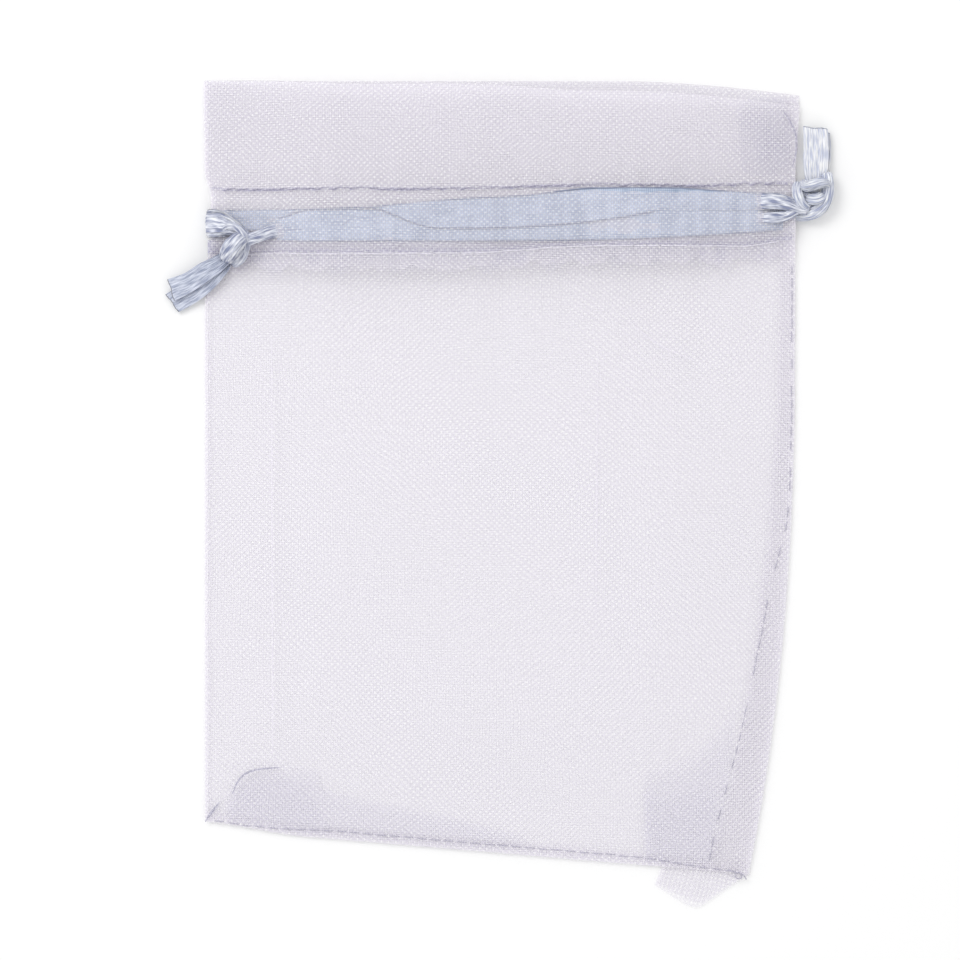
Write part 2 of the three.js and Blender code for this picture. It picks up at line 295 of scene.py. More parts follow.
def sweep(path, wide, high, sides=8, pleats=0, pleat_depth=0.0, twist=0.0, lean=(0, 0, 1)):
    """A closed tube along a path. Its section is an ellipse, folded into pleats lengthwise."""
    path = np.asarray(path, float)
    tangent = np.gradient(path, axis=0)
    tangent /= np.linalg.norm(tangent, axis=1, keepdims=True)
    side = np.cross(tangent[0], lean)
    side /= np.linalg.norm(side)
    frames = []
    for t in tangent:
        side = side - t * side.dot(t)
        side = side / np.linalg.norm(side)
        frames.append((side, np.cross(side, t)))
    sideways, normal = np.swapaxes(frames, 0, 1)
    steps = distances(path)
    angle = np.linspace(0, 2 * math.pi, sides, endpoint=False)[None, :]
    turn = angle + twist * steps[:, None]
    fold = 1 - np.abs(np.sin(0.5 * pleats * turn + 0.9 * np.sin(2 * turn + 0.7)))
    radius = 1 - pleat_depth * fold if pleats else 1.0
    w = np.broadcast_to(wide, len(path))[:, None] / 2
    h = np.broadcast_to(high, len(path))[:, None] / 2
    ring = (path[:, None]
            + (w * np.cos(angle) * radius)[..., None] * sideways[:, None]
            + (h * np.sin(angle) * radius)[..., None] * normal[:, None])
    girth = math.pi * float(np.mean(w + h))
    uv = joined(angle / (2 * math.pi) * girth, steps[:, None])
    return grid(ring, uv, ring=True, capped=True)


# ---------------- materials


class Shader:
    """A material being made."""

    def __init__(self, name):
        self.material = bpy.data.materials.new(name)
        self.material.use_nodes = True
        self.nodes = self.material.node_tree.nodes
        self.surface = self.nodes["Principled BSDF"]

    def put(self, source, socket):
        """Links a node's output to a socket, or sets a constant on it."""
        if isinstance(source, bpy.types.NodeSocket):
            self.material.node_tree.links.new(source, socket)
        else:
            socket.default_value = source

    def fill(self, node, **inputs):
        """Fills a node's inputs, named here with _ for each space."""
        for name, source in inputs.items():
            self.put(source, node.inputs[name.replace("_", " ")])
        return node

    def node(self, kind, **inputs):
        return self.fill(self.nodes.new("ShaderNode" + kind), **inputs)

    def result(self, kind, operation, *sources):
        """What a Math or VectorMath node makes of its sources."""
        node = self.nodes.new("ShaderNode" + kind)
        node.operation = operation
        for source, socket in zip(sources, node.inputs):
            self.put(source, socket)
        return node.outputs[0]

    def math(self, operation, *sources):
        return self.result("Math", operation, *sources)

    def moved(self, vector, noise, reach):
        """The vector, moved by up to reach in U and V with the noise's colour."""
        return self.result(
            "VectorMath", "MULTIPLY_ADD", noise.outputs["Color"], (reach, reach, 0), vector
        )

    def split(self, vector):
        return self.node("SeparateXYZ", Vector=vector).outputs

    def noise(self, vector, scale, detail):
        return self.node("TexNoise", Vector=vector, Scale=scale, Detail=detail)

    def step(self, value, low, high, start=0, end=1):
        """Goes smoothly from start to end while value goes from low to high."""
        ramp = self.node(
            "MapRange", Value=value, From_Min=low, From_Max=high, To_Min=start, To_Max=end
        )
        ramp.interpolation_type = "SMOOTHSTEP"
        return ramp.outputs[0]

    def cloth_uv(self):
        uv = self.node("UVMap")
        uv.uv_map = "cloth"
        return uv.outputs[0]

    def tone(self, factor, dark, light):
        mix = self.nodes.new("ShaderNodeMixRGB")
        for source, socket in zip((factor, (*dark, 1), (*light, 1)), mix.inputs):
            self.put(source, socket)
        self.fill(self.surface, Base_Color=mix.outputs[0])

    def relief(self, height, strength, distance):
        bump = self.node("Bump", Strength=strength, Distance=distance * MM, Height=height)
        self.fill(self.surface, Normal=bump.outputs[0])


# The weave, in thread pitches: half widths of warp and weft, how soft their edges are, and how
# far they wander.
WARP_HALF, WEFT_HALF, THREAD_SOFT = 0.20, 0.22, 0.16
BROAD_WANDER, FINE_WANDER = 2.2, 0.55
FILM_ALPHA, THREAD_ALPHA, GLINT_ALPHA = 0.07, 0.40, 0.13
# Some crossings catch the light: their rows per pitch in U and V, how far the rows wander, and
# the wave's heights at which a glint starts and is full.
GLINT_ROWS = (0.72, 0.80)
GLINT_DRIFT = 3.2
GLINT_START, GLINT_FULL = 0.05, 0.85


def organza_material(name, shade, light, fades=False):
    """Plain weave of single filaments with open gaps, from the UV map in thread pitches.

    A fold that fades has soft edges, by its mesh attribute "fade"."""
    shader = Shader(name)
    uv = shader.cloth_uv()
    wobble = shader.noise(uv, 0.045, 2)
    threads = shader.moved(uv, wobble, BROAD_WANDER)
    threads = shader.moved(threads, shader.noise(uv, 0.45, 1), FINE_WANDER)
    warp, weft = [
        shader.step(
            shader.math("PINGPONG", at, 0.5), half - THREAD_SOFT, half + THREAD_SOFT, 1, 0
        )
        for at, half in zip(shader.split(threads), (WARP_HALF, WEFT_HALF))
    ]
    lit = [
        shader.math("COSINE", shader.math("MULTIPLY", at, math.pi * rows))
        for at, rows in zip(shader.split(shader.moved(threads, wobble, GLINT_DRIFT)), GLINT_ROWS)
    ]
    glint = shader.step(shader.math("MULTIPLY", *lit), GLINT_START, GLINT_FULL)
    covered = shader.math("MAXIMUM", warp, weft)
    alpha = shader.math("MULTIPLY_ADD", covered, THREAD_ALPHA, FILM_ALPHA)
    alpha = shader.math("MULTIPLY_ADD", glint, GLINT_ALPHA, alpha)
    if fades:
        fade = shader.node("Attribute")
        fade.attribute_name = "fade"
        alpha = shader.math("MULTIPLY", alpha, fade.outputs["Fac"])
    shader.tone(glint, shade, light)
    shader.relief(shader.math("ADD", warp, weft), 0.25, 0.05)
    shader.fill(
        shader.surface, Alpha=alpha, Roughness=0.45, Sheen_Weight=0.25, Sheen_Roughness=0.4
    )
    return shader.material


# Strands of satin, coarse and fine: noise across, along, and its detail.
FINE = ((8.5, 0.55, 3), (3.2, 0.5, 1))
FLAT = ((4.0, 0.3, 2), (0.12, 0.45, 1))
RAMP = (0.40, 0.60)
RIB_HEIGHT = 0.2


def satin_material(name, dark, light, relief, roughness, scales=FINE, ribs=0.0):
    """Satin ribbon: fine strands along its length, which is V in the UV map, in millimetres.

    Where it lies flat the weft also shows, as ribs across it at that spacing."""
    shader = Shader(name)
    uv = shader.cloth_uv()
    strands = shader.math("ADD", *[
        shader.noise(
            shader.result("VectorMath", "MULTIPLY", uv, (across, along, 1)), 1.0, detail
        ).outputs["Fac"]
        for across, along, detail in scales
    ])
    if ribs:
        turn = shader.math("MULTIPLY", shader.split(uv)[1], 2 * math.pi / ribs)
        rib = shader.math("MULTIPLY", shader.math("SINE", turn), RIB_HEIGHT)
        strands = shader.math("ADD", strands, rib)
    # the strand noise sets the colour: real strands of the blue-grey ribbon, with painted sheen on
    # them and painted shade between them
    ramp = shader.node("ValToRGB")
    shader.put(shader.math("MULTIPLY", strands, 0.5), ramp.inputs[0])
    for k, colour in enumerate((dark, light)):
        ramp.color_ramp.elements[k].position = RAMP[k]
        ramp.color_ramp.elements[k].color = (*colour, 1)
    shader.relief(strands, 0.8, relief)
    shader.fill(
        shader.surface, Base_Color=ramp.outputs[0], Roughness=roughness,
        Specular_IOR_Level=0.8, Sheen_Weight=0.3, Sheen_Roughness=0.3
    )
    return shader.material


def thread_material(name, dark, light):
    """Twisted sewing thread: a fine slant along it."""
    shader = Shader(name)
    wave = shader.node("TexWave", Vector=shader.cloth_uv(), Scale=1.2, Distortion=0.6)
    wave.bands_direction = "DIAGONAL"
    shader.tone(wave.outputs["Fac"], dark, light)
    shader.relief(wave.outputs["Fac"], 0.4, 0.05)
    shader.fill(shader.surface, Roughness=0.55)
    return shader.material


def floor_material():
    shader = Shader("white_table")
    white = (0.935, 0.935, 0.935, 1)
    shader.fill(shader.surface, Base_Color=white, Roughness=0.9, Specular_IOR_Level=0.1)
    return shader.material


ORGANZA = organza_material("organza", (0.84, 0.807, 0.893), (1.0, 0.99, 1.0))
# Darker, bluer copies of the organza: painted shade on folds inside the pouch, under the casing and
# along creases.
FOLD_SHADE = organza_material("organza_fold_shade", (0.82, 0.80, 0.91), (0.97, 0.95, 1.0), True)
SHADED = organza_material("organza_shaded", (0.52, 0.51, 0.67), (0.86, 0.84, 0.94), True)
CREASE_SHADE = organza_material("organza_crease_shade", (0.46, 0.45, 0.56), (0.74, 0.72, 0.82), True)
FADING = (FOLD_SHADE, SHADED, CREASE_SHADE)
SATIN = satin_material("satin_ribbon", (0.24, 0.27, 0.42), (0.91, 0.93, 1.0), 0.3, 0.27)
# Lit copies of the satin for the right knot and tails: painted light. A darker copy for the left
# tails: painted shade.
LIT_SATIN = satin_material("satin_ribbon_half_lit", (0.37, 0.41, 0.58), (0.95, 0.97, 1.0), 0.28, 0.3)
BRIGHT_SATIN = satin_material("satin_ribbon_lit", (0.60, 0.64, 0.78), (0.99, 0.99, 1.0), 0.25, 0.3)
SHADED_TAIL_SATIN = satin_material("satin_ribbon_shaded_end", (0.31, 0.35, 0.48), (0.68, 0.72, 0.84), 0.2, 0.32)
# Dark lines along the ribbon's woven edges: painted shadow. The same dark satin makes the cut edges
# of the right tails.
EDGE_SHADOW_AND_CUT = satin_material("satin_edge_shadow_and_cut", (0.12, 0.15, 0.26), (0.26, 0.30, 0.42), 0.05, 0.45)
CUT = satin_material("satin_cut_edge", (0.12, 0.12, 0.15), (0.26, 0.26, 0.30), 0.05, 0.5)
FLAT_SATIN = satin_material(
    "satin_ribbon_flat", (0.25, 0.32, 0.46), (0.53, 0.60, 0.74), 0.08, 0.45, FLAT, ribs=0.33
)
THREAD = thread_material("pale_thread", (0.82, 0.80, 0.88), (1.0, 0.99, 1.0))
ROW_THREAD = thread_material("row_thread", (0.74, 0.72, 0.81), (0.95, 0.93, 0.98))
SEAM_THREAD = thread_material("seam_thread", (0.36, 0.35, 0.44), (0.56, 0.54, 0.64))
DARK_THREAD = thread_material("shaded_thread", (0.22, 0.21, 0.29), (0.40, 0.38, 0.48))

# ---------------- riding, and baked transforms

SIDES = {"left": -1, "right": 1}


def rides(obj, body):
    """obj moves with one body."""
    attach(obj, body)
    return obj


def gathers(obj):
    """obj is part of one half of the pouch; its transform is baked into its mesh."""
    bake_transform(obj)
    return obj


def pulls_out(obj):
    """obj is ribbon between the middle of the casing and its knot."""
    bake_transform(obj)
    return obj


# ---------------- cloth panels


def weave_uv(x, y, turn, stretch, offset, seed):
    """UV in thread pitches. Each layer lies a little turned and stretched."""
    bend_x = 0.10 * waves(x, y, seed, 3, 35, 80, 3.1)
    bend_y = 0.10 * waves(x, y, seed + 1, 3, 35, 80, 3.1)
    c, s = math.cos(math.radians(turn)), math.sin(math.radians(turn))
    u = (c * x - s * y) * stretch + bend_x + offset
    v = (s * x + c * y) / stretch + bend_y + offset
    return joined(u, v) / WEAVE_PITCH


def panel_path(outer_z, hem_z):
    """Nominal heights and layer heights from the bottom seam up, over the fold and down."""
    below_fold = TOP - 0.15
    y_up = np.concatenate([
        np.linspace(BOTTOM, HEM_END - 4, 190)[:-1],
        np.linspace(HEM_END - 4, below_fold, 90)[:-1],
    ])
    y_down = np.linspace(below_fold, HEM_END, 60)[1:]
    y = np.concatenate([y_up, [below_fold, TOP, below_fold], y_down])
    outer, hem = outer_z["doubled"], hem_z["doubled"]
    z = np.concatenate([
        stand_off(y_up, outer_z), [outer, (outer + hem) / 2, hem], stand_off(y_down, hem_z)
    ])
    is_outer = np.concatenate([np.ones(len(y_up) + 1), [0.5], np.zeros(len(y_down) + 1)])
    return y, z, is_outer


def stand_off(y, heights):
    """A layer's height: single cloth, then between the rows of stitches, then the header."""
    doubling = smooth((y - HEM_END + 3) / 3)
    z = heights["single"] + (heights["doubled"] - heights["single"]) * doubling
    inside = smooth((y - LOWER_ROW) / 1.5) * smooth((UPPER_ROW - y) / 1.5)
    return z + (heights["tunnel"] - heights["doubled"]) * inside


def panel_half(name, side, outer_z, hem_z, front, turn, stretch, seed):
    """One half of a panel: its outer layer, top fold and turned-in layer in one sheet."""
    s = SIDES[side]
    y_path, z_path, is_outer = panel_path(outer_z, hem_z)
    u = np.linspace(0, s, 120)
    uu, yy = np.meshgrid(u, y_path)
    zz = np.repeat(z_path[:, None], len(u), axis=1)
    outer = np.repeat(is_outer[:, None], len(u), axis=1)
    x = across_to_x(uu, yy)
    frayed = 0.55 * waves(x, 0, 17, 4, 3, 12, 0) * smooth((LOWER_ROW - 0.5 - yy) / 1.5)
    yy = yy + frayed * (outer < 0.4)
    y = on_level(x, yy, front)
    if front:
        z = zz + lift(uu, yy) + wrinkles(x, y) + upper_ridge(x, y) * (0.35 + 0.65 * outer)
    else:
        z = zz + 0.12 * np.clip(wrinkles(x, y), -0.5, 0.5) * (0.4 + 0.6 * (1 - outer))
    points = joined(x, y, z)
    along = np.where(outer > 0.4, y, 2 * TOP - y)
    uv = weave_uv(x, along, turn, stretch, 0.0, seed)
    return solid(name, [grid(points[:, ::s], uv[:, ::s])], ORGANZA)


FRONT_LAYERS = (
    {"single": FRONT_BODY, "doubled": FRONT_OUTER, "tunnel": FRONT_TUNNEL},
    {"single": FRONT_HEM, "doubled": FRONT_HEM, "tunnel": FRONT_HEM_TUNNEL},
)
BACK_LAYERS = (
    {"single": BACK, "doubled": BACK, "tunnel": BACK},
    {"single": BACK_HEM, "doubled": BACK_HEM, "tunnel": BACK_TUNNEL},
)


def make_panels():
    for side in SIDES:
        front = panel_half(f"front_panel_{side}", side, *FRONT_LAYERS, True, 0.25, 1.0, 20)
        back = panel_half(f"back_panel_{side}", side, *BACK_LAYERS, False, -0.45, 1.006, 30)
        for obj, node in ((front, "front_panel"), (back, "back_panel")):
            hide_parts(node)
            gathers(obj)


# ---------------- sewing


def front_z(x, y_nominal, above):
    """Height of the front panel's outer layer at a nominal height, plus a clearance."""
    y = on_level(x, y_nominal)
    base = stand_off(y_nominal, FRONT_LAYERS[0]) + lift(x_to_across(x, y_nominal), y_nominal)
    return base + wrinkles(x, y) + upper_ridge(x, y) + above


STITCH = 2.1  # millimetres from hole to hole
STITCH_SHARE = 0.82  # share of it that shows on this side
STITCH_RISE = 0.12
STITCH_POINTS = 9


def stitches(name, route, thickness, material, share=STITCH_SHARE, slant=0.0, missing=0.0):
    """Separate stitches along a route: each rises out of its hole and dives into the next.

    slant is how far a stitch climbs, and missing is the share of stitches that don't show."""
    route = np.asarray(route, float)
    length = distances(route)
    parts = []
    for k in range(int(length[-1] / STITCH)):
        if rng.random() < missing:
            continue
        start = (k + 0.5 * (1 - share)) * STITCH
        at = np.linspace(start, start + STITCH * share * rng.uniform(0.85, 1), STITCH_POINTS)
        points = sampled(route, length, at)
        arch = np.sin(np.linspace(0, math.pi, STITCH_POINTS))
        points[:, 2] += STITCH_RISE * (arch - 0.6)
        across = np.sign(points[-1, 0] - points[0, 0])
        points[:, 1] += slant * across * np.linspace(-1, 1, STITCH_POINTS)
        points[:, :2] += rng.normal(0, 0.03, 2)
        size = 2 * thickness * (0.6 + 0.4 * arch)
        parts.append(sweep(points, size, size, 6))
    return solid(name, parts, material)


def row_route(side, y_nominal, front, above):
    """Along a row of stitches, from the centre line to one side seam."""
    s = SIDES[side]
    x = np.linspace(0.0, s * (HALF - 1.3), 200)
    y = on_level(x, y_nominal)
    if front:
        nipped = scallops(x) if y_nominal == UPPER_ROW else 0
        return joined(x, y + nipped, front_z(x, y_nominal, above))
    return joined(x, y, BACK_HEM + above)


def make_rows():
    for side in SIDES:
        for row, y_nominal in (("upper", UPPER_ROW), ("lower", LOWER_ROW)):
            for face in ("front", "back"):
                route = row_route(side, y_nominal, face == "front", 0.05)
                name = f"{face}_casing_{row}_stitches_{side}"
                tone = THREAD
                if face == "front":
                    tone = DARK_THREAD if row == "upper" else ROW_THREAD
                share, slant = (1.15, 0.13) if row == "upper" else (1.1, 0.0)
                obj = stitches(name, route, 0.085, tone, share, slant)
                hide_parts(f"{face}_casing_{row}_thread")
                gathers(obj)


def side_route(side, low, high, inset, z):
    """Up along a side seam, so far in from the edge and so high at each nominal height."""
    s = SIDES[side]
    y_nominal = np.linspace(low, high, 160)
    edge = left_side(y_nominal) if s < 0 else right_side(y_nominal)
    x = edge - s * inset(y_nominal)
    return joined(x, on_level(x, y_nominal), z(y_nominal))


SEAM_INSET = 0.5


def straight_inset(y):
    return SEAM_INSET


def rolled_inset(y):
    """The right seam has rolled round to the front, further in towards the foot."""
    return SEAM_INSET + 2.6 * smooth((-4 - y) / 17) + 3.4 * np.clip((-20 - y) / 34, 0, 1)


def make_side_seams():
    # inset, thread, thickness, share of a stitch that shows, share of stitches that don't
    kinds = {
        "left": (straight_inset, THREAD, 0.05, 0.8, 0.0),
        "right": (rolled_inset, SEAM_THREAD, 0.075, 0.84, 0.14),
    }
    for side, (inset, material, thickness, share, missing) in kinds.items():

        def over(y):
            return FRONT_BODY + 0.12 + lift(1 - inset(y) / 45, y)

        def between(y):
            return 0.62

        route = side_route(side, BOTTOM + 1.5, LOWER_ROW - 3, inset, over)
        seam = stitches(f"{side}_side_seam", route, thickness, material, share, 0.0, missing)
        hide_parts(f"{side}_side_seam_thread")
        gathers(seam)
        route = side_route(side, UPPER_ROW + 1.5, TOP - 1.0, straight_inset, between)
        header = stitches(f"{side}_header_seam", route, 0.08, THREAD)
        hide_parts(f"{side}_header_seam_thread")
        rides(header, f"{side}_neck")


# The loose end of the bottom seam's thread, from the last stitch: across, up, and its height.
TANGLE = (
    (-2.4, 0.35, 0.9), (-1.3, 0.0, 1.05), (-0.4, -0.25, 1.1), (-0.2, -0.85, 1.05),
    (-0.9, -1.0, 1.15), (-1.3, -0.45, 1.25), (-0.8, -0.05, 1.2), (0.1, -0.55, 1.1),
    (0.5, -1.15, 0.95),
)


def make_bottom_seam():
    x = np.linspace(-HALF + 1.5, HALF - CORNER_INSET - 1.0, 300)
    rise = 0.95 * smooth((x + 42) / 16) * smooth((36 - x) / 16)
    y = level_lines(x)[0] + 0.3 + rise
    route = joined(x, y, FRONT_BODY + 0.15)
    seam = stitches("bottom_seam", route, 0.075, SEAM_THREAD)
    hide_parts("bottom_seam_thread")
    tangle = smooth_path(np.array(TANGLE) + [x[-1], y[-1], 0], 0.15)
    tangle = solid("bottom_seam_end", [sweep(tangle, 0.17, 0.17, 6)], SEAM_THREAD)
    rides(tangle, "pouch")
    rides(seam, "pouch")


# ---------------- ribbons in the casing


def ribbon(edge_a, edge_b, ripple, thickness=0.16, columns=22, capped=False):
    """A flat ribbon between two edge curves, points in millimetres, with its thickness."""
    a, b = np.asarray(edge_a, float), np.asarray(edge_b, float)
    t = np.linspace(0, 1, columns)
    ring_t = np.concatenate([t, t[::-1]])[None, :, None]
    face = np.concatenate([np.ones(columns), -np.ones(columns)]) * thickness / 2
    across = b - a
    along = np.gradient((a + b) / 2, axis=0)
    normal = np.cross(along, across)
    flip = np.where(normal[:, 2:] < 0, -1.0, 1.0)
    normal = normal * flip / np.maximum(np.linalg.norm(normal, axis=1, keepdims=True), 1e-9)
    middle = (a + b) / 2
    length = distances(middle)
    points = a[:, None] + across[:, None] * ring_t
    off = face + ripple(length[:, None], ring_t[..., 0])
    points = points + off[..., None] * normal[:, None]
    width = float(np.max(np.linalg.norm(across, axis=1)))
    ring_u = np.concatenate([t, 2 - t[::-1]])[None, :] * width
    uv = joined(ring_u, length[:, None])
    return grid(points, uv, ring=True, capped=capped)


def lower_run_edges(x):
    """The edges of the left string, which lies along the lower row."""
    low = LOWER_ROW + 0.15 + 0.0011 * np.clip(x - 3, 0, None) ** 2
    high = LOWER_ROW + 4.9 + 0.00035 * (x + 20) ** 2
    return low, np.maximum(high, low + 2.6)


TWIST_X = -20.5
TWIST_TOP = 5.35  # how far over the lower row the turn-over starts
UPPER_RUN = (-1.35, (0.95, 4, 11), (-0.65, 26, 13))  # off the upper row, like the lines above
RUN_MIDDLE = LOWER_ROW + 4  # the middle of the casing


def upper_run_edges(x):
    """The edges of the right string, along the upper row. It turns over once at TWIST_X."""
    high = level_lines(x)[2] + stepped(x, UPPER_RUN)
    high = np.minimum(high, LOWER_ROW + TWIST_TOP + 0.09 * (x - TWIST_X))
    behind = LOWER_ROW + TWIST_TOP - 0.35 * smooth((TWIST_X - x) / 12)
    high = np.where(x < TWIST_X, behind, high)
    sag = LOWER_ROW + 2.1 + np.minimum(0.0033 * np.clip(x + 4, 0, None) ** 2, 2.8)
    low = sag + (high - sag) * (1 - smooth((x - TWIST_X) / 11) ** 0.7)
    low = np.where(x < TWIST_X, high - 3.1 * smooth((TWIST_X - x) / 5), low)
    return low, high


def under_the_other(x):
    """How far the right string lies under the left one, beyond the turn-over."""
    return 0.42 * smooth((TWIST_X + 3 - x) / 5)


def run_edges(x, edges, base, front):
    """The two edges of a string, so high over the table or, in front, over the table and lift."""
    low, high = edges(x)
    z = base
    if front:
        z = base + lift(x_to_across(x, RUN_MIDDLE), RUN_MIDDLE)
    if front and edges is upper_run_edges:
        z = z - under_the_other(x)
    return joined(x, low, z), joined(x, high, z)


def casing_ripple(x, seed):
    """Shallow folds along the ribbon, in step from one piece of it to the next."""

    def ripple(s, t):
        along = x[:, None]
        folds = 0.09 * np.sin(2 * math.pi * (1.3 * t + 0.4 * np.sin(along / 9 + seed)) + seed)
        return folds + 0.04 * np.sin(along / 2.3 + 5 * t + seed)

    return ripple


def selvedge_shadow(line):
    """The thicker woven edge of the ribbon, as a tube; in its dark satin it is a line of painted
    shadow.
    """
    return sweep(line + np.array([0, 0, 0.1]), 0.2, 0.16, 6)


def round_bight(first, last, s):
    """Round the far side of the casing, from the front run's last point to the back run's first."""
    turn = np.linspace(0, math.pi, 14)[1:-1, None]
    bulge = (first[2] - last[2]) / 2
    return np.concatenate([
        first[0] - s * bulge * np.sin(turn),
        first[1] + 0 * turn,
        (first[2] + last[2]) / 2 + bulge * np.cos(turn),
    ], axis=1)


# For each string: its run, its height in the front casing, where it leaves the front casing, how
# far its other half reaches, and how far out the dark line of painted shadow along its lower
# woven edge shows in front.
STRINGS = {
    "left": (lower_run_edges, FRONT_RIBBON - 0.25, 34.5, 43.4, HALF),
    "right": (upper_run_edges, FRONT_RIBBON, 41.5, 42.4, 24),
}
BACK_REACH, BACK_EXIT = 44.8, 44.0


def make_casing_ribbons():
    for side, (edges, height, exit_front, reach, shown) in STRINGS.items():
        s = SIDES[side]
        node = f"{side}_ribbon"
        # front and back of its own half, from the middle to where it leaves the casing
        x = s * np.linspace(0, exit_front, 110)
        a, b = run_edges(x, edges, height, True)
        near = smooth((np.abs(x) - exit_front + 5) / 5)[:, None]
        middle = (a + b) / 2
        a, b = a + 0.3 * near * (middle - a), b + 0.3 * near * (middle - b)
        if side == "left":
            drop = np.array([[0, -0.55, 0.0]]) * near
            a, b = a + drop, b + drop
        face = ribbon(a, b, casing_ripple(x, s))
        piece = solid(f"{side}_ribbon_front", [face], FLAT_SATIN)
        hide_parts(node)
        pulls_out(piece)
        # dark lines of painted shadow along the ribbon's woven edges
        lines = [selvedge_shadow(a[np.abs(x) < shown]), selvedge_shadow(b)]
        pulls_out(solid(f"{side}_ribbon_front_edge", lines, EDGE_SHADOW_AND_CUT))
        x = s * np.linspace(0, BACK_REACH, 110)
        a, b = run_edges(x, edges, BACK_RIBBON, False)
        face = ribbon(a, b, casing_ripple(x, s + 2))
        piece = solid(f"{side}_ribbon_back", [face], FLAT_SATIN)
        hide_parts(node)
        pulls_out(piece)
        # the other half, round the bight
        there = -s * np.linspace(0, reach, 120)
        a1, b1 = run_edges(there, edges, height, True)
        a2, b2 = run_edges(there[::-1], edges, BACK_RIBBON, False)
        turn_a, turn_b = round_bight(a1[-1], a2[0], s), round_bight(b1[-1], b2[0], s)
        turn_x = np.full(len(turn_a), there[-1])
        along = np.concatenate([there, turn_x, there[::-1]])
        flat = np.concatenate([np.ones(len(there)), 0 * turn_x, np.ones(len(there))])
        flat = np.convolve(flat, np.ones(9) / 9, mode="same")
        flat[:5] = flat[-5:] = 1
        in_front = (np.arange(len(along)) < len(there) + 7)[:, None]
        front_folds, back_folds = casing_ripple(along, s), casing_ripple(along, s + 2)

        def ripple(length, t):
            folds = np.where(in_front, front_folds(length, t), back_folds(length, t))
            return folds * flat[:, None]

        a, b = np.concatenate([a1, turn_a, a2]), np.concatenate([b1, turn_b, b2])
        bight = solid(f"{side}_ribbon_bight", [ribbon(a, b, ripple)], FLAT_SATIN)
        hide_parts(node)
        gathers(bight)
        # dark lines of painted shadow along its woven edges
        lines = [selvedge_shadow(a1), selvedge_shadow(b1)]
        gathers(solid(f"{side}_ribbon_bight_edge", lines, EDGE_SHADOW_AND_CUT))


# ---------------- knots and tails


def bundle(points, wide, high, pleats, depth, twist, lean=(0, 0, 1)):
    """Ribbon bunched up and drawn tight along a path; wide and high are lists along it."""
    path = smooth_path(points, 0.10)
    at = np.linspace(0, 1, len(path))
    wide, high = [np.interp(at, np.linspace(0, 1, len(v)), v) for v in (wide, high)]
    ends = np.minimum(1, 0.35 + np.minimum(at, 1 - at) * len(path) * 0.1 / 0.5)
    return sweep(path, wide * ends, high * ends, 56, pleats, depth, twist, lean)


FAN_COLUMNS = 64
FAN_THICKNESS = 0.15
NOTCH = 0.07  # how uneven a cut end is


def fan(a_points, b_points, pleats, height, reach):
    """A free end of ribbon: pleated where it leaves the knot, flat at its cut end."""
    a, b = smooth_path(a_points, 0.14), smooth_path(b_points, 0.14)
    rows = max(len(a), len(b))
    a, b = even(a, rows), even(b, rows)

    def ripple(s, t):
        tight = np.exp(-s / reach)
        fold = np.abs((pleats * t + 0.35 * np.sin(2.1 * t * pleats + s * 0.15)) % 1 - 0.5)
        fine = 0.03 * np.sin(2 * math.pi * (2.7 * pleats * t + 0.05 * s))
        return height * (2 * fold - 0.5) * tight + fine * (0.2 + tight)

    verts, faces, uv = ribbon(a, b, ripple, FAN_THICKNESS, FAN_COLUMNS, True)
    # the cut end is uneven
    ring = verts[: rows * 2 * FAN_COLUMNS].reshape(rows, 2 * FAN_COLUMNS, 3)
    t = np.linspace(0, 1, FAN_COLUMNS)
    t = np.concatenate([t, t[::-1]])
    axis = ((a[-1] + b[-1]) - (a[-6] + b[-6])) / 2
    axis /= np.linalg.norm(axis)
    uneven = NOTCH * np.sin(3.1 * math.pi * t + 0.6) + 0.3 * NOTCH * np.sin(11 * math.pi * t)
    share = smooth((np.arange(rows) - rows + 10) / 9)[:, None, None]
    ring += share * uneven[None, :, None] * axis
    rim = (ring[-1, :FAN_COLUMNS] + ring[-1, : FAN_COLUMNS - 1 : -1]) / 2
    return (verts, faces, uv), sweep(rim[::2], 0.14, 0.2, 6)


